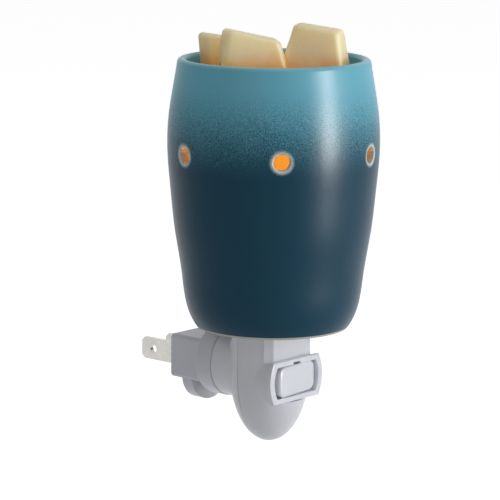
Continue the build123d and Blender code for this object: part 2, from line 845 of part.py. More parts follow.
# Brass screw shell with its tail
shell_outer_radius = holder_radius - holder_wall

with BuildPart() as lamp_screw_shell:
    with BuildSketch(lamp_level(floor_level)):
        Circle(shell_outer_radius)
        Circle(shell_inner_radius, mode=Mode.SUBTRACT)
    extrude(amount=holder_height - holder_floor)
    with BuildSketch(lamp_level(floor_level)):
        with Locations((0, (shell_inner_radius + shell_tail_offset) / 2)):
            Rectangle(shell_tail_width, shell_inner_radius - shell_tail_offset + tail_thickness)
    extrude(amount=screw_shell_thickness)
    with BuildSketch(lamp_level(floor_level)):
        with Locations((0, shell_tail_offset)):
            Rectangle(tail_thickness, shell_tail_width)
    extrude(amount=-(holder_floor + holder_tail_depth))
lamp_screw_shell.part.label = "lamp_screw_shell"
export_step(lamp_screw_shell.part, "parts/lamp_screw_shell.step")

# Centre contact under the bulb's tip
with BuildPart() as lamp_centre_contact:
    with BuildSketch(lamp_level(floor_level)):
        RectangleRounded(centre_contact_width, centre_contact_width, centre_contact_width / 4)
    extrude(amount=centre_contact_thickness)
    with BuildSketch(lamp_level(floor_level + centre_contact_thickness)):
        Circle(centre_contact_width / 3)
    extrude(amount=centre_contact_thickness)
    with BuildSketch(lamp_level(floor_level)):
        Rectangle(tail_thickness, centre_tail_width)
    extrude(amount=-(holder_floor + holder_tail_depth))
lamp_centre_contact.part.label = "lamp_centre_contact"
export_step(lamp_centre_contact.part, "parts/lamp_centre_contact.step")

# Leads between the swivel contacts, the switch and the lamp holder
post_edge = contact_post_width / 2
terminal_edge = terminal_thickness / 2
tail_edge = tail_thickness / 2

live_lead_route = [
    (live_post[0] - post_edge, -lead_gap, live_post[1]),
    (live_lead_offset, -lead_gap, live_post[1]),
    (live_lead_offset, -lead_gap, switch_height),
    (terminal_edge, -lead_gap, switch_height),
]
switched_lead_route = [
    (-load_terminal_offset - terminal_edge, -lead_gap, switch_height),
    (-left_lead_offset, -lead_gap, switch_height),
    (-left_lead_offset, -lead_gap, lead_height),
    (-left_lead_offset, -lamp_axis_gap, lead_height),
    (-tail_edge, -lamp_axis_gap, lead_height),
]
neutral_lead_route = [
    (neutral_post[0] + post_edge, -lead_gap, neutral_post[1]),
    (right_lead_offset, -lead_gap, neutral_post[1]),
    (right_lead_offset, -lead_gap, lead_height),
    (tail_edge, -lead_gap, lead_height),
]


def lead(route):
    """Insulated wire along a route of rounded corners."""
    with BuildLine() as path:
        FilletPolyline(*route, radius=lead_bend)
    with BuildSketch(Plane(origin=path.line @ 0, z_dir=path.line % 0)) as section:
        Circle(lead_radius)
    sweep(section.sketch, path=path.line)


with BuildPart() as live_lead:
    lead(live_lead_route)
live_lead.part.label = "live_lead"
export_step(live_lead.part, "parts/live_lead.step")

with BuildPart() as switched_lead:
    lead(switched_lead_route)
switched_lead.part.label = "switched_lead"
export_step(switched_lead.part, "parts/switched_lead.step")

with BuildPart() as neutral_lead:
    lead(neutral_lead_route)
neutral_lead.part.label = "neutral_lead"
export_step(neutral_lead.part, "parts/neutral_lead.step")

# Bulb: beaded screw cap, insulator, tip contact, glass, stem and filament
bead_start = bulb_cap_bottom + bulb_cap_bead_pitch / 2

with BuildPart() as bulb_screw_cap:
    with BuildSketch(lamp_profile):
        with BuildLine():
            Line((0, bulb_cap_bottom), (bulb_cap_radius, bulb_cap_bottom))
            for turn in range(bulb_cap_bead_count):
                bead = bead_start + turn * bulb_cap_bead_pitch
                start = bulb_cap_bottom if turn == 0 else bead - bulb_cap_bead_pitch / 4
                Line((bulb_cap_radius, start), (bulb_cap_radius, bead))
                ThreePointArc(
                    (bulb_cap_radius, bead),
                    (bulb_cap_radius - bulb_cap_bead, bead + bulb_cap_bead_pitch * 3 / 8),
                    (bulb_cap_radius, bead + bulb_cap_bead_pitch * 3 / 4),
                )
            last = bead_start + bulb_cap_bead_count * bulb_cap_bead_pitch - bulb_cap_bead_pitch / 4
            Polyline(
                (bulb_cap_radius, last), (bulb_cap_radius, bulb_cap_top), (0, bulb_cap_top), (0, bulb_cap_bottom)
            )
        make_face()
    revolve(axis=lamp_axis)
    with BuildSketch(lamp_level(bulb_cap_bottom + bulb_cap_thickness)):
        Circle(bulb_neck_radius)
    extrude(amount=bulb_cap_length, mode=Mode.SUBTRACT)
bulb_screw_cap.part.label = "bulb_screw_cap"
export_step(bulb_screw_cap.part, "parts/bulb_screw_cap.step")

with BuildPart() as bulb_insulator:
    with BuildSketch(lamp_profile):
        Polygon(
            (0, bulb_cap_bottom),
            (bulb_cap_radius - bulb_cap_thickness, bulb_cap_bottom),
            (bulb_tip_radius, bulb_cap_bottom - bulb_insulator_height),
            (0, bulb_cap_bottom - bulb_insulator_height),
            align=None,
        )
    revolve(axis=lamp_axis)
bulb_insulator.part.label = "bulb_insulator"
export_step(bulb_insulator.part, "parts/bulb_insulator.step")

with BuildPart() as bulb_tip_contact:
    with BuildSketch(lamp_level(bulb_bottom)):
        Circle(bulb_tip_radius)
    extrude(amount=bulb_tip_height)
    fillet(bulb_tip_contact.faces().sort_by(Axis.Z)[0].edges(), bulb_tip_height / 2)
bulb_tip_contact.part.label = "bulb_tip_contact"
export_step(bulb_tip_contact.part, "parts/bulb_tip_contact.step")

glass_bottom = bulb_cap_bottom + bulb_cap_length / 2
glass_rise = bulb_top - bulb_cap_top
swell_height = bulb_cap_top + glass_rise * bulb_swell_share


def glass_outline(inset):
    """Half section of the bulb's glass, moved inward by an inset."""
    neck = bulb_neck_radius - inset
    swell = bulb_radius - inset
    top = bulb_top - inset
    bend_height = (bulb_cap_top + swell_height) / 2
    with BuildSketch() as outline:
        with BuildLine():
            Line((0, glass_bottom), (neck, glass_bottom))
            Line((neck, glass_bottom), (neck, bulb_cap_top))
            Bezier((neck, bulb_cap_top), (neck, bend_height), (swell, bend_height), (swell, swell_height))
            Bezier((swell, swell_height), (swell, top), (0, top), weights=dome_weights)
            Line((0, top), (0, glass_bottom))
        make_face()
    return outline.sketch


with BuildPart() as bulb_glass:
    with BuildSketch(lamp_profile):
        add(glass_outline(0))
    revolve(axis=lamp_axis)
    with BuildSketch(lamp_profile):
        add(glass_outline(bulb_glass_wall))
    revolve(axis=lamp_axis, mode=Mode.SUBTRACT)
bulb_glass.part.label = "bulb_glass"
export_step(bulb_glass.part, "parts/bulb_glass.step")

stem_bottom = glass_bottom
stem_top = bulb_cap_top + stem_height

with BuildPart() as bulb_stem:
    with BuildSketch(lamp_profile):
        with BuildLine():
            Line((0, stem_bottom), (stem_radius + stem_flare, stem_bottom))
            ThreePointArc(
                (stem_radius + stem_flare, stem_bottom),
                (stem_radius + stem_flare / 4, stem_bottom + stem_flare),
                (stem_radius, stem_bottom + 2 * stem_flare),
            )
            Line((stem_radius, stem_bottom + 2 * stem_flare), (stem_radius, stem_top))
            Line((stem_radius, stem_top), (0, stem_top))
            Line((0, stem_top), (0, stem_bottom))
        make_face()
    revolve(axis=lamp_axis)
bulb_stem.part.label = "bulb_stem"
export_step(bulb_stem.part, "parts/bulb_stem.step")

# Filament on its two support wires
support_foot = stem_radius / 2
filament_height = stem_top + support_wire_reach

with BuildPart() as bulb_filament:
    for side in (-1, 1):
        with BuildLine() as support_path:
            Line(
                (side * support_foot, -lamp_axis_gap, stem_top + support_wire_lift),
                (side * filament_span, -lamp_axis_gap, filament_height),
            )
        with BuildSketch(Plane(origin=support_path.line @ 0, z_dir=support_path.line % 0)):
            Circle(support_wire_radius)
        sweep(path=support_path.line)
    with BuildLine() as filament_path:
        ThreePointArc(
            (-filament_span, -lamp_axis_gap, filament_height),
            (0, -lamp_axis_gap, filament_height + filament_span / 2),
            (filament_span, -lamp_axis_gap, filament_height),
        )
    with BuildSketch(Plane(origin=filament_path.line @ 0, z_dir=filament_path.line % 0)):
        Circle(filament_radius)
    sweep(path=filament_path.line)
bulb_filament.part.label = "bulb_filament"
export_step(bulb_filament.part, "parts/bulb_filament.step")

# Glazed ware: barrel with a foot ring, a floor with a hole, a dish on top and round vents
shade_side = shade_radius_points()
inner_side = shade_radius_points(shade_wall)
chamber_floor = shade_floor + floor_thickness
chamber_top = shade_top - dish_depth * dish_turn_shares[1]
vent_reach = 3 * shade_wall
vent_start_radius = shade_radius - vent_reach + shade_wall

with BuildPart() as glazed_ware:
    with BuildSketch(lamp_profile):
        with BuildLine():
            Line((0, shade_foot_height), (foot_radius, shade_foot_height))
            Spline(
                (foot_radius, shade_foot_height),
                *shade_side,
                (lip_axis_radius + lip_radius, shade_top - lip_radius),
            )
            ThreePointArc(
                (lip_axis_radius + lip_radius, shade_top - lip_radius),
                (lip_axis_radius, shade_top),
                (dish_radius, shade_top - lip_radius),
            )
            Line((dish_radius, shade_top - lip_radius), (0, shade_top - lip_radius))
            Line((0, shade_top - lip_radius), (0, shade_foot_height))
        make_face()
    revolve(axis=lamp_axis)
    with BuildSketch(lamp_profile):
        add(dish_outline())
    revolve(axis=lamp_axis, mode=Mode.SUBTRACT)
    with BuildSketch(lamp_profile):
        with BuildLine():
            Spline(*inner_side)
            Line(inner_side[-1], (0, inner_side[-1][1]))
            Line((0, inner_side[-1][1]), (0, inner_side[0][1]))
            Line((0, inner_side[0][1]), inner_side[0])
        make_face()
        with Locations((0, (chamber_floor + shade_foot_height) / 2)):
            Rectangle(2 * shade_radius, chamber_floor - shade_foot_height, mode=Mode.SUBTRACT)
        with Locations((0, chamber_top + shade_height / 2)):
            Rectangle(2 * shade_radius, shade_height, mode=Mode.SUBTRACT)
        offset(dish_outline(), amount=shade_wall, mode=Mode.SUBTRACT)
    revolve(axis=lamp_axis, mode=Mode.SUBTRACT)
    with BuildSketch(lamp_level(shade_foot_height)):
        Circle(foot_radius - foot_ring_width)
    extrude(amount=foot_recess, mode=Mode.SUBTRACT)
    with BuildSketch(lamp_level(shade_floor)):
        Circle(locating_collar_radius + floor_hole_clearance)
    extrude(amount=floor_thickness, mode=Mode.SUBTRACT)
    for vent in range(vent_count):
        heading = radians(vent_start_angle + vent * 360 / vent_count)
        vent_plane = Plane(
            (0, -lamp_axis_gap, vent_height), x_dir=(-sin(heading), cos(heading), 0),
            z_dir=(cos(heading), sin(heading), 0),
        )
        with BuildSketch(vent_plane.offset(vent_start_radius)):
            Circle(vent_radius)
        extrude(amount=vent_reach, mode=Mode.SUBTRACT)
        vent_rims = glazed_ware.edges(Select.LAST).filter_by(GeomType.LINE, reverse=True)
        fillet(vent_rims.sort_by(Axis(vent_plane.origin, vent_plane.z_dir))[-1], vent_edge_round)

# The dish's floor is cast on its own, luted into the barrel and glazed over
with BuildPart() as dish_floor_disc:
    with BuildSketch(lamp_level(vent_height)):
        Circle(dish_seam_radius)
    extrude(amount=shade_top - vent_height)
    add(glazed_ware.part, mode=Mode.INTERSECT)
dish_floor_disc.part.label = "dish_floor_disc"
export_step(dish_floor_disc.part, "parts/dish_floor_disc.step")

with BuildPart() as ceramic_shade:
    add(glazed_ware.part)
    with BuildSketch(lamp_level(vent_height)):
        Circle(dish_seam_radius)
    extrude(amount=shade_top - vent_height, mode=Mode.SUBTRACT)
ceramic_shade.part.label = "ceramic_shade"
export_step(ceramic_shade.part, "parts/ceramic_shade.step")

# Room for wax: the dish's own space less a clearance, open above the lip
with BuildPart() as wax_room:
    with BuildSketch(lamp_profile):
        add(dish_outline())
        with Locations((dish_radius / 2, shade_top + dish_depth / 2)):
            Rectangle(dish_radius, dish_depth + 2 * lip_radius)
    revolve(axis=lamp_axis)
    offset(amount=-wax_clearance)


def wax_block(size, place_shares, turn, lean, taper, rise, slope):
    """Tapered block of wax in the dish, sized at the lip's height and sliced to a sloping top."""
    across = dish_radius * place_shares[0]
    towards = dish_radius * place_shares[1]
    heading = radians(wax_turn)
    block_turn = radians(wax_turn + turn)
    along = Vector(cos(block_turn), sin(block_turn), 0)
    upward = Vector(0, 0, 1)
    centre = Vector(
        across * cos(heading) + towards * sin(heading),
        -lamp_axis_gap + across * sin(heading) - towards * cos(heading),
        shade_top,
    )
    block_axis = upward * cos(radians(lean)) + along * sin(radians(lean))
    block_side = along * cos(radians(lean)) - upward * sin(radians(lean))
    sections = []
    for distance in (-dish_depth - overrun, rise + overrun):
        growth = -2 * distance * tan(radians(taper))
        level = Plane(centre + block_axis * distance, x_dir=block_side, z_dir=block_axis)
        with BuildSketch(level) as section:
            RectangleRounded(size[0] + growth, size[1] + growth, wax_corner_radius)
        sections.append(section.sketch)
    loft(sections, ruled=True)
    tilt = radians(slope)
    top = Plane(
        centre + upward * rise,
        x_dir=along * cos(tilt) - upward * sin(tilt),
        z_dir=along * sin(tilt) + upward * cos(tilt),
    )
    split(bisect_by=top, keep=Keep.BOTTOM)


with BuildPart() as wax_melt_right:
    wax_block(
        wax_right_size, wax_right_place_shares, wax_right_turn, wax_right_lean,
        wax_right_taper, wax_right_top, wax_right_slope,
    )
    fillet(wax_melt_right.faces().sort_by(Axis.Z)[-1].edges(), wax_top_round)
    add(wax_room.part, mode=Mode.INTERSECT)
wax_melt_right.part.label = "wax_melt_right"
export_step(wax_melt_right.part, "parts/wax_melt_right.step")

with BuildPart() as wax_melt_middle:
    wax_block(
        wax_middle_size, wax_middle_place_shares, wax_middle_turn, wax_middle_lean,
        wax_middle_taper, wax_middle_top, wax_middle_slope,
    )
    fillet(wax_melt_middle.faces().sort_by(Axis.Z)[-1].edges(), wax_top_round)
    add(wax_room.part, mode=Mode.INTERSECT)
    add(wax_melt_right.part, mode=Mode.SUBTRACT)
wax_melt_middle.part.label = "wax_melt_middle"
export_step(wax_melt_middle.part, "parts/wax_melt_middle.step")

with BuildPart() as wax_melt_left:
    wax_block(
        wax_left_size, wax_left_place_shares, wax_left_turn, wax_left_lean,
        wax_left_taper, wax_left_top, wax_left_slope,
    )
    fillet(wax_melt_left.faces().sort_by(Axis.Z)[-1].edges(), wax_top_round)
    add(wax_room.part, mode=Mode.INTERSECT)
    add(wax_melt_middle.part, mode=Mode.SUBTRACT)
    add(wax_melt_right.part, mode=Mode.SUBTRACT)
wax_melt_left.part.label = "wax_melt_left"
export_step(wax_melt_left.part, "parts/wax_melt_left.step")
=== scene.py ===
import math
from itertools import product

import bpy
from mathutils import Matrix, Vector


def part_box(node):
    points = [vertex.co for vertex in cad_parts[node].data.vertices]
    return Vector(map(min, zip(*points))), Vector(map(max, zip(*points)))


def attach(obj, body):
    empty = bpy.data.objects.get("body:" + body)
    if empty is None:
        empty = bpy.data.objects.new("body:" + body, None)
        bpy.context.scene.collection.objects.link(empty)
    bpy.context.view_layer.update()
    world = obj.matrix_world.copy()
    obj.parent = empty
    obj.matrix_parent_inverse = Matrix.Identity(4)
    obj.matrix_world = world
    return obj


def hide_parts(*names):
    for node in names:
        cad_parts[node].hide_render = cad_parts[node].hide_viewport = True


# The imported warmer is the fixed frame. Every length below is in metres unless its name says mm.
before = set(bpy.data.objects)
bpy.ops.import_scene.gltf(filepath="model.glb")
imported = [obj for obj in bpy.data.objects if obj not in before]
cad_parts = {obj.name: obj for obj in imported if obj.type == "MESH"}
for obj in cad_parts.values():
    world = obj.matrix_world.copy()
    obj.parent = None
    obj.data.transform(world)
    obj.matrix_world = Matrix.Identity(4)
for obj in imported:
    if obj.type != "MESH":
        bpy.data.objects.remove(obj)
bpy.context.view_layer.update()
MM = 0.001

# Places and sizes on the warmer, as the solids have them
LAMP_AXIS_Y = -40.1 * MM
FOOT_Z_MM = 15.6
VENT_Z_MM = 79.25
VENT_START = math.radians(45.7)
VENT_STEP = math.radians(60)
VENT_RADIUS_MM = 2.95
RIM_Z_MM = 111.1
DISH_FLOOR_Z_MM = 91.8

# Glaze: where the spray starts and is full, and how far the pale ring reaches from a vent's edge
SPRAY_START_MM = 110.0
SPRAY_FULL_MM = 74.5
RING_REACH_MM = 2.2
RING_FULL_MM = 0.45
GLAZE_GLOSS = 0.33
CLAY_GLOSS = 0.85

# Widths of the glaze's specks, of its slow drift and of its orange peel, how far the drift moves
# the spray up and down, and how hard the specks stand out
SPECK_MM = 0.36
DRIFT_MM = 14.0
PEEL_MM = 1.6
WANDER_MM = 5.0
SPECK_CONTRAST = 7.0

# Wax: widths of its patches of tone and of its frost, how far above the rim it has begun to
# soften, how uneven that line is, and its roughness where hard and where soft
WAX_PATCH_MM = 7.0
WAX_FROST_MM = 0.6
WAX_SOFT_MM = 7.0
WAX_UNEVEN_MM = 6.0
WAX_HARD_GLOSS = 0.5
WAX_SOFT_GLOSS = 0.25

# Light inside the bulb: its power, the size it glows with, and its height as a share of the glass
LAMP_COLOUR = "#FFA63C"
LAMP_WATTS = 0.082
LAMP_SOFTNESS = 6 * MM
LAMP_SHARE = 0.55

# Studio: the floor, the room's light on the warmer, and the white that the camera and
# reflections see
FLOOR_REACH = 9.0
FLOOR_Z = -110 * MM
FLOOR_WHITE = 0.82
ROOM_LIGHT = 0.18
ROOM_WHITE = 1.0


# Shader helpers
def linear(hex_colour):
    """An sRGB hex colour as the linear colour that the shaders take."""
    parts = [int(hex_colour[i:i + 2], 16) / 255 for i in (1, 3, 5)]
    return [p / 12.92 if p <= 0.04045 else ((p + 0.055) / 1.055) ** 2.4 for p in parts] + [1.0]


def add(tree, kind, inputs=None, **settings):
    """Adds one node: its settings, and its inputs as values or as links from other nodes."""
    node = tree.nodes.new("ShaderNode" + kind)
    for key, value in settings.items():
        setattr(node, key, value)
    for key, value in (inputs or {}).items():
        if isinstance(value, bpy.types.NodeSocket):
            tree.links.new(value, node.inputs[key])
        else:
            node.inputs[key].default_value = value
    return node


def finish(name, colour, roughness, **sockets):
    """A material on one shader, with every constant set on the shader's own sockets."""
    material = bpy.data.materials.new(name)
    material.use_nodes = True
    tree = material.node_tree
    shader = tree.nodes["Principled BSDF"]
    shader.inputs["Base Color"].default_value = linear(colour)
    shader.inputs["Roughness"].default_value = roughness
    for key, value in sockets.items():
        shader.inputs[key.replace("_", " ")].default_value = value
    return material, tree, shader


def place_mm(tree):
    """Where a point lies on its own piece, in millimetres, so that patterns have real sizes."""
    coordinates = add(tree, "TexCoord")
    return add(tree, "VectorMath", {0: coordinates.outputs["Object"], "Scale": 1 / MM},
               operation="SCALE").outputs[0]


def relief(tree, shader, grain_mm, depth_mm):
    """Fine unevenness with grains of that size and depth."""
    noise = add(tree, "TexNoise", {"Vector": place_mm(tree), "Scale": 1 / grain_mm, "Detail": 2.0})
    bump = add(tree, "Bump", {"Height": noise.outputs["Fac"], "Distance": depth_mm * MM})
    tree.links.new(bump.outputs["Normal"], shader.inputs["Normal"])


def cloud(tree, shader, first, second, size_mm):
    """Slow drift of the base colour between two tones, in patches of that size."""
    noise = add(tree, "TexNoise", {"Vector": place_mm(tree), "Scale": 1 / size_mm, "Detail": 3.0})
    spread = add(tree, "MapRange",
                 {"Value": noise.outputs["Fac"], "From Min": 0.3, "From Max": 0.7})
    tone = add(tree, "Mix", {0: spread.outputs["Result"], 6: linear(first), 7: linear(second)},
               data_type="RGBA")
    tree.links.new(tone.outputs[2], shader.inputs["Base Color"])


def polish(tree, shader, lowest, highest, size_mm):
    """Slow drift of the gloss, as handling and moulding leave it."""
    noise = add(tree, "TexNoise", {"Vector": place_mm(tree), "Scale": 1 / size_mm, "Detail": 2.0})
    gloss = add(tree, "MapRange", {"Value": noise.outputs["Fac"], "From Min": 0.3, "From Max": 0.7,
                                   "To Min": lowest, "To Max": highest})
    tree.links.new(gloss.outputs["Result"], shader.inputs["Roughness"])


def dress(material, *nodes):
    """Gives the named CAD nodes a material."""
    for node in nodes:
        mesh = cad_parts[node].data
        mesh.materials.clear()
        mesh.materials.append(material)


# Glazed stoneware: a pale teal glaze with a dark teal one sprayed over it from below.
# The spray breaks into fine specks where it thins out, and the glaze goes pale where it
# runs off the vents' edges. The chamber and the foot are bare clay.
def stoneware():
    material, tree, shader = finish("stoneware_teal_glaze", "#3C7488", GLAZE_GLOSS, IOR=1.5,
                                    Specular_IOR_Level=0.13)
    point = place_mm(tree)
    axes = add(tree, "SeparateXYZ", {0: point})
    height = axes.outputs["Z"]
    off_axis_y = add(tree, "Math", {0: axes.outputs["Y"], 1: -LAMP_AXIS_Y / MM},
                     operation="ADD").outputs[0]
    flat = add(tree, "CombineXYZ", {"X": axes.outputs["X"], "Y": off_axis_y})
    radius = add(tree, "VectorMath", {0: flat.outputs[0]}, operation="LENGTH").outputs["Value"]

    # Spray: none at the rim, full below the vents, in specks about a third of a millimetre wide,
    # which is coarser than life so that they show from a metre away
    specks = add(tree, "TexNoise",
                 {"Vector": point, "Scale": 1 / SPECK_MM, "Detail": 1.0, "Roughness": 0.5})
    drift = add(tree, "TexNoise", {"Vector": point, "Scale": 1 / DRIFT_MM, "Detail": 2.0})
    wander = add(tree, "Math", {0: drift.outputs["Fac"], 1: WANDER_MM, 2: height},
                 operation="MULTIPLY_ADD")
    spray = add(tree, "MapRange",
                {"Value": wander.outputs[0], "From Min": SPRAY_START_MM, "From Max": SPRAY_FULL_MM},
                interpolation_type="SMOOTHSTEP")
    thin = add(tree, "Math", {0: 1.0, 1: spray.outputs["Result"]}, operation="SUBTRACT")
    broken = add(tree, "Math", {0: thin.outputs[0], 1: spray.outputs["Result"]},
                 operation="MULTIPLY")
    speckle = add(tree, "Math",
                  {0: specks.outputs["Fac"], 1: SPECK_CONTRAST, 2: -SPECK_CONTRAST / 2},
                  operation="MULTIPLY_ADD")
    cover = add(tree, "Math",
                {0: broken.outputs[0], 1: speckle.outputs[0], 2: spray.outputs["Result"]},
                operation="MULTIPLY_ADD", use_clamp=True)
    glaze = add(tree, "Mix", {0: cover.outputs[0], 6: linear("#70BBD1"), 7: linear("#0B4056")},
                data_type="RGBA")

    # The glaze thins to a paler tone on the rim
    rim = add(tree, "MapRange",
              {"Value": height, "From Min": RIM_Z_MM - 0.9, "From Max": RIM_Z_MM + 0.2})
    rimmed = add(tree, "Mix", {0: rim.outputs["Result"], 6: glaze.outputs[2], 7: linear("#9CCBD6")},
                 data_type="RGBA")

    # Pale ring where the glaze draws back from each vent
    angle = add(tree, "Math", {0: off_axis_y, 1: axes.outputs["X"]}, operation="ARCTAN2")
    turned = add(tree, "Math", {0: angle.outputs[0], 1: VENT_START}, operation="SUBTRACT")
    wrapped = add(tree, "Math", {0: turned.outputs[0], 1: VENT_STEP / 2, 2: -VENT_STEP / 2},
                  operation="WRAP")
    sine = add(tree, "Math", {0: wrapped.outputs[0]}, operation="SINE")
    aside = add(tree, "Math", {0: sine.outputs[0], 1: radius}, operation="MULTIPLY")
    above = add(tree, "Math", {0: height, 1: VENT_Z_MM}, operation="SUBTRACT")
    from_vent = add(tree, "CombineXYZ", {"X": aside.outputs[0], "Y": above.outputs[0]})
    away = add(tree, "VectorMath", {0: from_vent.outputs[0]}, operation="LENGTH").outputs["Value"]
    ragged = add(tree, "Math", {0: specks.outputs["Fac"], 1: 0.9, 2: away},
                 operation="MULTIPLY_ADD")
    ring = add(tree, "MapRange",
               {"Value": ragged.outputs[0], "From Min": VENT_RADIUS_MM + RING_REACH_MM,
                "From Max": VENT_RADIUS_MM + RING_FULL_MM},
               interpolation_type="SMOOTHSTEP")
    ringed = add(tree, "Mix",
                 {0: ring.outputs["Result"], 6: rimmed.outputs[2], 7: linear("#D6E6EA")},
                 data_type="RGBA")

    # Bare clay in the chamber, in the vents and under the foot
    facing = add(tree, "TexCoord").outputs["Normal"]
    outward = add(tree, "VectorMath", {0: flat.outputs[0]}, operation="NORMALIZE")
    radial = add(tree, "VectorMath", {0: facing, 1: outward.outputs[0]},
                 operation="DOT_PRODUCT").outputs["Value"]
    upright = add(tree, "SeparateXYZ", {0: facing}).outputs["Z"]
    inward = add(tree, "Math", {0: radial, 1: -0.2}, operation="LESS_THAN")
    downward = add(tree, "Math", {0: upright, 1: -0.6}, operation="LESS_THAN")
    level = add(tree, "Math", {0: upright, 1: 0.7}, operation="GREATER_THAN")
    in_vent = add(tree, "Math", {0: away, 1: VENT_RADIUS_MM + 0.12}, operation="LESS_THAN")
    in_foot = add(tree, "Math", {0: height, 1: FOOT_Z_MM + 0.8}, operation="LESS_THAN")
    hidden_side = add(tree, "Math", {0: inward.outputs[0], 1: level.outputs[0]},
                      operation="MAXIMUM")
    below_dish = add(tree, "Math", {0: height, 1: DISH_FLOOR_Z_MM - 0.5}, operation="LESS_THAN")
    chamber = add(tree, "Math", {0: hidden_side.outputs[0], 1: below_dish.outputs[0]},
                  operation="MULTIPLY")
    under = add(tree, "Math", {0: chamber.outputs[0], 1: downward.outputs[0]}, operation="MAXIMUM")
    edge = add(tree, "Math", {0: in_vent.outputs[0], 1: in_foot.outputs[0]}, operation="MAXIMUM")
    bare = add(tree, "Math", {0: under.outputs[0], 1: edge.outputs[0]},
               operation="MAXIMUM").outputs[0]
    clay_tone = add(tree, "Mix",
                    {0: drift.outputs["Fac"], 6: linear("#D3D0C8"), 7: linear("#BDB9AF")},
                    data_type="RGBA")
    colour = add(tree, "Mix", {0: bare, 6: ringed.outputs[2], 7: clay_tone.outputs[2]},
                 data_type="RGBA")
    tree.links.new(colour.outputs[2], shader.inputs["Base Color"])
    gloss = add(tree, "MapRange", {"Value": bare, "To Min": GLAZE_GLOSS, "To Max": CLAY_GLOSS})
    tree.links.new(gloss.outputs["Result"], shader.inputs["Roughness"])

    # Orange peel of the fired glaze, with the specks standing slightly proud
    peel = add(tree, "TexNoise", {"Vector": point, "Scale": 1 / PEEL_MM, "Detail": 2.0})
    skin = add(tree, "Math", {0: specks.outputs["Fac"], 1: 0.5, 2: peel.outputs["Fac"]},
               operation="MULTIPLY_ADD")
    bump = add(tree, "Bump", {"Height": skin.outputs[0], "Distance": 0.02 * MM})
    tree.links.new(bump.outputs["Normal"], shader.inputs["Normal"])
    return material


# Soy wax: cast in a tray, so it has smooth drafted sides, and it lets light a few millimetres in.
# A trace of glow stands for the light that comes right through from the far side.
# It turns amber and glossy where it has begun to soften against the warm dish.
def soy_wax():
    material, tree, shader = finish("soy_wax_cream", "#F9E0AE", WAX_HARD_GLOSS, IOR=1.44,
                                    Subsurface_Weight=1.0, Subsurface_Scale=1.0,
                                    Subsurface_Radius=(9 * MM, 6 * MM, 3 * MM),
                                    Emission_Color=linear("#F2B878"), Emission_Strength=0.1)
    point = place_mm(tree)
    height = add(tree, "SeparateXYZ", {0: point}).outputs["Z"]
    drift = add(tree, "TexNoise", {"Vector": point, "Scale": 1 / WAX_PATCH_MM, "Detail": 3.0})
    pale = add(tree, "Mix", {0: drift.outputs["Fac"], 6: linear("#FFEBC4"), 7: linear("#FADFAC")},
               data_type="RGBA")
    ragged = add(tree, "Math", {0: drift.outputs["Fac"], 1: WAX_UNEVEN_MM, 2: height},
                 operation="MULTIPLY_ADD")
    warm = add(tree, "MapRange",
               {"Value": ragged.outputs[0], "From Min": RIM_Z_MM + WAX_SOFT_MM,
                "From Max": RIM_Z_MM - 0.5},
               interpolation_type="SMOOTHSTEP")
    tone = add(tree, "Mix", {0: warm.outputs["Result"], 6: pale.outputs[2], 7: linear("#F2B450")},
               data_type="RGBA")
    tree.links.new(tone.outputs[2], shader.inputs["Base Color"])
    gloss = add(tree, "MapRange", {"Value": warm.outputs["Result"], "To Min": WAX_HARD_GLOSS,
                                   "To Max": WAX_SOFT_GLOSS})
    tree.links.new(gloss.outputs["Result"], shader.inputs["Roughness"])
    frost = add(tree, "TexNoise", {"Vector": point, "Scale": 1 / WAX_FROST_MM, "Detail": 3.0})
    waves = add(tree, "Math", {0: drift.outputs["Fac"], 1: 6.0, 2: frost.outputs["Fac"]},
                operation="MULTIPLY_ADD")
    bump = add(tree, "Bump", {"Height": waves.outputs[0], "Distance": 0.05 * MM})
    tree.links.new(bump.outputs["Normal"], shader.inputs["Normal"])
    return material


# ABS, injection moulded: a soft gloss with a faint grain that breaks up the highlights.
# The grain is drawn coarser than life, so that it shows.
def moulded_abs(name, light, shade, roughness):
    material, tree, shader = finish(name, light, roughness, IOR=1.53)
    cloud(tree, shader, light, shade, 18.0)
    polish(tree, shader, roughness - 0.01, roughness + 0.02, 16.0)
    relief(tree, shader, 0.35, 0.004)
    return material


# Plated and stamped metal: bright, slightly uneven from the press, and duller in patches.
# The unevenness is drawn coarser than life, so that it shows.
def plated(name, light, shade, roughness):
    material, tree, shader = finish(name, light, roughness, Metallic=1.0)
    cloud(tree, shader, light, shade, 5.0)
    polish(tree, shader, roughness - 0.05, roughness + 0.1, 1.5)
    relief(tree, shader, 0.6, 0.0015)
    return material


# Phenolic moulding: dark, dull, with the grain of its filler
def phenolic():
    material, tree, shader = finish("phenolic_brown", "#231B16", 0.55)
    cloud(tree, shader, "#2A201A", "#1A1410", 1.2)
    relief(tree, shader, 0.3, 0.01)
    return material


# Glazed porcelain of the lamp holder: cold white, smooth and hard
def porcelain():
    material, tree, shader = finish("holder_porcelain", "#E3E1DA", 0.25, IOR=1.5)
    cloud(tree, shader, "#E6E4DD", "#D9D6CC", 6.0)
    relief(tree, shader, 1.5, 0.01)
    return material


# PVC insulation, extruded: a soft skin with a faint waviness along the wire
def insulation(name, light, shade):
    material, tree, shader = finish(name, light, 0.45)
    cloud(tree, shader, light, shade, 2.0)
    relief(tree, shader, 0.4, 0.01)
    return material


# Soda-lime glass, frosted inside, that spreads the filament's light over the whole bulb
def lit_glass():
    material, tree, shader = finish("bulb_glass_frosted_lit", "#9C7A54", 0.4, IOR=1.5,
                                    Transmission_Weight=0.08,
                                    Emission_Color=linear("#FFA53A"), Emission_Strength=0.9)
    relief(tree, shader, 0.3, 0.005)
    return material


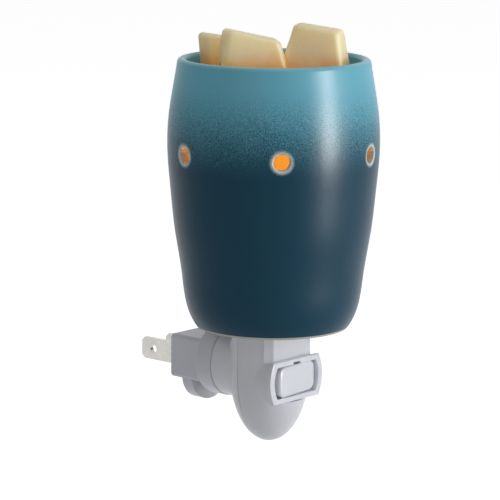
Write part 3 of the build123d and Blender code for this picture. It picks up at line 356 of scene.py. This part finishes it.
# Pressed lead glass of the stem: clear, with a few soft waves
def stem_glass():
    material, tree, shader = finish("stem_lead_glass", "#F2F4F2", 0.05, IOR=1.56,
                                    Transmission_Weight=1.0)
    relief(tree, shader, 0.8, 0.01)
    return material


# Tungsten wire at work: yellow-white heat
def hot_tungsten():
    material, tree, shader = finish("tungsten_lit", "#8C8A86", 0.4, Metallic=1.0,
                                    Emission_Color=linear("#FFC878"),
                                    Emission_Strength=6.0)
    relief(tree, shader, 0.05, 0.001)
    return material


# Black glass fused round the bulb's tip contact
def fused_black_glass():
    material, tree, shader = finish("black_fused_glass", "#0B0B0C", 0.12, IOR=1.52)
    cloud(tree, shader, "#0B0B0C", "#15151A", 1.0)
    relief(tree, shader, 0.8, 0.02)
    return material


# The warmer's materials
housing_white = moulded_abs("housing_abs_white", "#E3E5EC", "#DEE0E8", 0.32)
plug_white = moulded_abs("plug_abs_white", "#D9DBE3", "#D3D5DE", 0.34)
switch_white = moulded_abs("switch_abs_white", "#E9EBF3", "#E5E7F0", 0.28)
nickel = plated("blade_nickel_plate", "#CBCAC6", "#BDBBB5", 0.26)
brass = plated("stamped_brass", "#D2AF62", "#B9924A", 0.3)
spring_steel = plated("spring_steel", "#A9ABAE", "#8E9094", 0.3)
zinc = plated("screw_zinc_plate", "#B9BCC0", "#A5A39A", 0.35)
cap_metal = plated("bulb_cap_nickel_plate", "#CFC9BA", "#BDB6A6", 0.28)
solder = plated("tin_solder", "#B7B8B9", "#9A9B9C", 0.42)

dress(stoneware(), "ceramic_shade", "dish_floor_disc")
dress(soy_wax(), "wax_melt_left", "wax_melt_middle", "wax_melt_right")
dress(housing_white, "rear_housing", "front_housing")
dress(plug_white, "plug_body")
dress(switch_white, "switch_bezel", "switch_rocker")
dress(nickel, "live_blade", "neutral_blade")
dress(spring_steel, "plug_retaining_ring", "rocker_spring")
dress(zinc, "housing_screws")
dress(phenolic(), "switch_case", "contact_carrier")
dress(brass, "line_terminal", "load_terminal", "live_contact_arc", "neutral_contact_arc",
      "contact_lever", "rocker_plunger", "lamp_centre_contact", "lamp_screw_shell")
dress(insulation("wire_pvc_black", "#17171A", "#101012"), "live_lead", "switched_lead")
dress(insulation("wire_pvc_white", "#DEDDD6", "#CFCDC4"), "neutral_lead")
dress(porcelain(), "lamp_holder")
dress(lit_glass(), "bulb_glass")
dress(stem_glass(), "bulb_stem")
dress(cap_metal, "bulb_screw_cap")
dress(fused_black_glass(), "bulb_insulator")
dress(solder, "bulb_tip_contact")
dress(hot_tungsten(), "bulb_filament")


# Rocker of the switch: a shallow hollow from end to end, soft edges, a plate behind it, and the
# web and the trunnions that it turns on. Lengths are halves where the shape has two equal sides.
PIVOT = Vector((0, -45.2, -2.7)) * MM
REST_TURN = math.radians(6)
ROCKER_LENGTH, ROCKER_HEIGHT, ROCKER_BULGE = 10.3 * MM, 5.4 * MM, 0.7 * MM
ROCKER_FRONT, ROCKER_DEPTH, ROCKER_HOLLOW = 6.8 * MM, 3.6 * MM, 0.75 * MM
END_ROUND, EDGE_ROUND, CORNER = 1.3 * MM, 0.7 * MM, 2.6 * MM
TRUNNION_RADIUS, TRUNNION_REACH, TRUNNION_CHAMFER = 1.0 * MM, 6.0 * MM, 0.2 * MM
WEB_LENGTH, WEB_HEIGHT, WEB_REACH, WEB_SINK = 2.6 * MM, 5.1 * MM, 1.6 * MM, 0.8 * MM


def rocker_outline(steps):
    """Points round the rocker's face: bulging ends and rounded corners, sideways and up."""
    points = []
    for side, first in ((1, -90), (1, 0), (-1, 90), (-1, 180)):
        lift = 1 if first in (0, 90) else -1
        for step in range(steps + 1):
            turn = math.radians(first + 90 * step / steps)
            up = lift * (ROCKER_HEIGHT - CORNER) + CORNER * math.sin(turn)
            bulge = ROCKER_BULGE * (1 - (up / ROCKER_HEIGHT) ** 2)
            points.append((side * (ROCKER_LENGTH + bulge - CORNER) + CORNER * math.cos(turn), up))
    return points


def rocker_depth(across):
    """How far the face lies behind its highest point."""
    reach = ROCKER_LENGTH + ROCKER_BULGE - END_ROUND
    if abs(across) <= reach:
        return ROCKER_HOLLOW * (1 - (across / reach) ** 2)
    over = min(abs(across) - reach, END_ROUND)
    return END_ROUND - math.sqrt(END_ROUND ** 2 - over ** 2)


def block(points, faces, size, centre):
    """Adds a box of that size to a mesh's lists."""
    first = len(points)
    for ways in product((-1, 1), repeat=3):
        points.append(Vector([middle + way * whole / 2
                              for middle, way, whole in zip(centre, ways, size)]))
    faces.extend([first + n for n in ring] for ring in (
        (0, 1, 3, 2), (4, 6, 7, 5), (0, 4, 5, 1), (2, 3, 7, 6), (0, 2, 6, 4), (1, 5, 7, 3)))


def pin(points, faces, radius, reach):
    """Adds an upright pin with chamfered ends to a mesh's lists."""
    first = len(points)
    straight = reach - TRUNNION_CHAMFER
    rings = ((-reach, radius - TRUNNION_CHAMFER), (-straight, radius), (straight, radius),
             (reach, radius - TRUNNION_CHAMFER))
    sides = 24
    turns = [math.tau * n / sides for n in range(sides)]
    for up, wide in rings:
        points.extend(Vector((wide * math.cos(turn), wide * math.sin(turn), up)) for turn in turns)
    for row in range(len(rings) - 1):
        start = first + row * sides
        faces.extend([start + n, start + (n + 1) % sides, start + sides + (n + 1) % sides,
                      start + sides + n]
                     for n in range(sides))
    faces.append([first + n for n in reversed(range(sides))])
    faces.append([first + (len(rings) - 1) * sides + n for n in range(sides)])


def rocker():
    """The whole rocker as one mesh, built about its pivot and turned to its rest place."""
    outline = rocker_outline(10)
    count = len(outline)
    points, faces = [], []
    rings = [(1.0, ROCKER_DEPTH), (1.0, EDGE_ROUND)]
    rings += [(1.0 - EDGE_ROUND * (1 - math.cos(t)) / ROCKER_HEIGHT, EDGE_ROUND * (1 - math.sin(t)))
              for t in (math.radians(a) for a in (22.5, 45, 67.5, 90))]
    rings += [(share, 0.0) for share in (0.8, 0.72, 0.6, 0.48, 0.36, 0.24, 0.12)]
    for share, back in rings:
        for across, up in outline:
            depth = ROCKER_DEPTH if back == ROCKER_DEPTH else rocker_depth(across * share) + back
            points.append(Vector((across * share, depth - ROCKER_FRONT, up * share)))
    for row in range(len(rings) - 1):
        start = row * count
        faces.extend([start + n, start + (n + 1) % count, start + count + (n + 1) % count,
                      start + count + n]
                     for n in range(count))
    points.append(Vector((0, ROCKER_HOLLOW - ROCKER_FRONT, 0)))
    last = (len(rings) - 1) * count
    faces.extend([last + n, last + (n + 1) % count, len(points) - 1] for n in range(count))
    faces.append(list(reversed(range(count))))
    web_start = ROCKER_FRONT - ROCKER_DEPTH + WEB_SINK
    block(points, faces, (2 * WEB_LENGTH, web_start + WEB_REACH, 2 * WEB_HEIGHT),
          (0, (WEB_REACH - web_start) / 2, 0))
    pin(points, faces, TRUNNION_RADIUS, TRUNNION_REACH)
    mesh = bpy.data.meshes.new("switch_rocker_moulding")
    mesh.from_pydata([PIVOT + Matrix.Rotation(REST_TURN, 3, "Z") @ p for p in points], [], faces)
    mesh.shade_smooth()
    mesh.materials.append(switch_white)
    piece = bpy.data.objects.new("switch_rocker_moulding", mesh)
    bpy.context.scene.collection.objects.link(piece)
    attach(piece, "rocker")
    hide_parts("switch_rocker")


rocker()

# Slanting facets beside the column's flat front, standing slightly proud of its round sides
COLUMN_AXIS_Y, FLAT_HALF, FLAT_REACH = -39.0 * MM, 9.9 * MM, 10.62 * MM
FACET_WIDTH, FACET_SINK, FACET_STEP = 3.6 * MM, 0.45 * MM, 0.9 * MM
FACET_LOW, FACET_HIGH = 4.3 * MM, 17.2 * MM
FACET_EDGE = 0.14 * MM


def front_facet(name, side):
    """A slanting strip on the column, from the switch's boss up to the flange."""
    slant = math.sqrt(0.5)
    near = (FLAT_HALF, -FLAT_REACH)
    far = (FLAT_HALF + FACET_WIDTH * slant, -FLAT_REACH + FACET_WIDTH * slant)
    inner_far = (far[0] - FACET_STEP, far[1] + FACET_STEP / 2)
    inner_near = (near[0] - FACET_SINK, near[1] + FACET_SINK)
    section = [near, far, inner_far, inner_near]
    points = [(side * x, COLUMN_AXIS_Y + y, z) for z in (FACET_LOW, FACET_HIGH) for x, y in section]
    faces = [(0, 1, 2, 3), (7, 6, 5, 4)]
    faces += [(n, 4 + n, 4 + (n + 1) % 4, (n + 1) % 4) for n in range(4)]
    mesh = bpy.data.meshes.new(name)
    mesh.from_pydata(points, [], faces if side < 0 else [ring[::-1] for ring in faces])
    mesh.materials.append(housing_white)
    piece = bpy.data.objects.new(name, mesh)
    bpy.context.scene.collection.objects.link(piece)
    edges = piece.modifiers.new("soft_edges", "BEVEL")
    edges.width = FACET_EDGE
    edges.segments = 2
    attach(piece, "base")


front_facet("front_facet_left", -1)
front_facet("front_facet_right", 1)


# The lit lamp: a warm light inside the bulb, which the bulb's own glass doesn't shade
bulb_low, bulb_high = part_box("bulb_glass")
glow = bpy.data.lights.new("lamp_glow", "POINT")
glow.color = linear(LAMP_COLOUR)[:3]
glow.energy = LAMP_WATTS
glow.shadow_soft_size = LAMP_SOFTNESS
glow_place = bpy.data.objects.new("lamp_glow", glow)
bpy.context.scene.collection.objects.link(glow_place)
glow_place.location = (0, LAMP_AXIS_Y, bulb_low.z + LAMP_SHARE * (bulb_high.z - bulb_low.z))
glow_place.visible_camera = False
glow_place.visible_glossy = False
glow_place.visible_transmission = False
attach(glow_place, "bulb")
for node in ("bulb_glass", "bulb_stem", "bulb_filament"):
    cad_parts[node].visible_shadow = False


def seen_rays(tree):
    """One for rays that the camera sees, straight or through a reflection or glass, else zero."""
    rays = add(tree, "LightPath").outputs
    straight = add(tree, "Math", {0: rays["Is Camera Ray"], 1: rays["Is Glossy Ray"]},
                   operation="MAXIMUM")
    return add(tree, "Math", {0: straight.outputs[0], 1: rays["Is Transmission Ray"]},
               operation="MAXIMUM").outputs[0]


# Floor, well below the warmer, which hangs from its plug
floor_mesh = bpy.data.meshes.new("floor")
floor_corners = [(x * FLOOR_REACH, y * FLOOR_REACH, 0)
                 for x, y in ((-1, -1), (1, -1), (1, 1), (-1, 1))]
floor_mesh.from_pydata(floor_corners, [], [(0, 1, 2, 3)])
floor = bpy.data.objects.new("floor", floor_mesh)
bpy.context.scene.collection.objects.link(floor)
floor.location = (0, 0, FLOOR_Z)
floor_paint = bpy.data.materials.new("floor_white")
floor_paint.use_nodes = True
tree = floor_paint.node_tree
tree.nodes.clear()
lift = add(tree, "Math", {0: seen_rays(tree), 1: FLOOR_WHITE}, operation="MULTIPLY")
paint = add(tree, "BsdfDiffuse", {"Color": linear("#F1F1F0")})
shine = add(tree, "Emission", {"Color": linear("#FFFFFF"), "Strength": lift.outputs[0]})
total = add(tree, "AddShader", {0: paint.outputs[0], 1: shine.outputs[0]})
add(tree, "OutputMaterial", {"Surface": total.outputs[0]})
floor_mesh.materials.append(floor_paint)

# Soft light from all round, and a white room for the camera and the reflections
world = bpy.data.worlds.new("studio")
world.use_nodes = True
bpy.context.scene.world = world
tree = world.node_tree
tree.nodes.clear()
level = add(tree, "MapRange",
            {"Value": seen_rays(tree), "To Min": ROOM_LIGHT, "To Max": ROOM_WHITE})
sky = add(tree, "Background", {"Color": linear("#FFFFFF"), "Strength": level.outputs["Result"]})
add(tree, "OutputWorld", {"Surface": sky.outputs[0]})


# Softboxes: where each stands from the middle of the warmer, its size and its power
def softbox(name, direction, distance, width, height, watts):
    """Area light at a distance in a direction, turned towards the warmer."""
    light = bpy.data.lights.new(name, "AREA")
    light.shape = "RECTANGLE"
    light.size = width
    light.size_y = height
    light.energy = watts
    stand = bpy.data.objects.new(name, light)
    bpy.context.scene.collection.objects.link(stand)
    away = Vector(direction).normalized()
    stand.location = Vector((0, LAMP_AXIS_Y, 50 * MM)) + away * distance
    stand.rotation_mode = "QUATERNION"
    stand.rotation_quaternion = (-away).to_track_quat("-Z", "Y")
    return stand


softbox("key_right", (0.42, -0.90, 0.13), 0.9, 0.5, 0.8, 4.9)
softbox("fill_left", (-0.95, -0.25, 0.30), 1.1, 0.8, 0.9, 0.9)
softbox("top", (-0.10, -0.25, 1.0), 0.9, 0.7, 0.7, 1.7)

# A small bright card that only reflections see: it draws the upright highlight down the glaze
softbox("sheen_card", (0.21, -0.977, 0.05), 0.9, 0.24, 0.42, 22.0).visible_diffuse = False

# Camera where the photograph was taken from: its focal length in pixels of the 500-pixel frame,
# the point it looks at, how far off it stands, and its turn, tilt and roll
F_PX = 2744.341
FRAME_PX = 500
aim = Vector((14.548, -16.308, 37.674)) * MM
camera_distance = 1001.743 * MM
yaw, pitch, roll = (math.radians(a) for a in (-48.264, 10.254, 0.385))
back = Vector((math.sin(yaw) * math.cos(pitch), -math.cos(yaw) * math.cos(pitch), math.sin(pitch)))
level_right = Vector((math.cos(yaw), math.sin(yaw), 0))
level_up = back.cross(level_right)
right = level_right * math.cos(roll) + level_up * math.sin(roll)
up = level_up * math.cos(roll) - level_right * math.sin(roll)
camera = bpy.data.objects.new("camera", bpy.data.cameras.new("camera"))
bpy.context.scene.collection.objects.link(camera)
camera.data.sensor_width = 36
camera.data.lens = 36 * F_PX / FRAME_PX
turned = Matrix((right, up, back)).transposed().to_4x4()
camera.matrix_world = Matrix.Translation(aim + back * camera_distance) @ turned
bpy.context.scene.camera = camera
bpy.context.scene.view_settings.view_transform = "Standard"
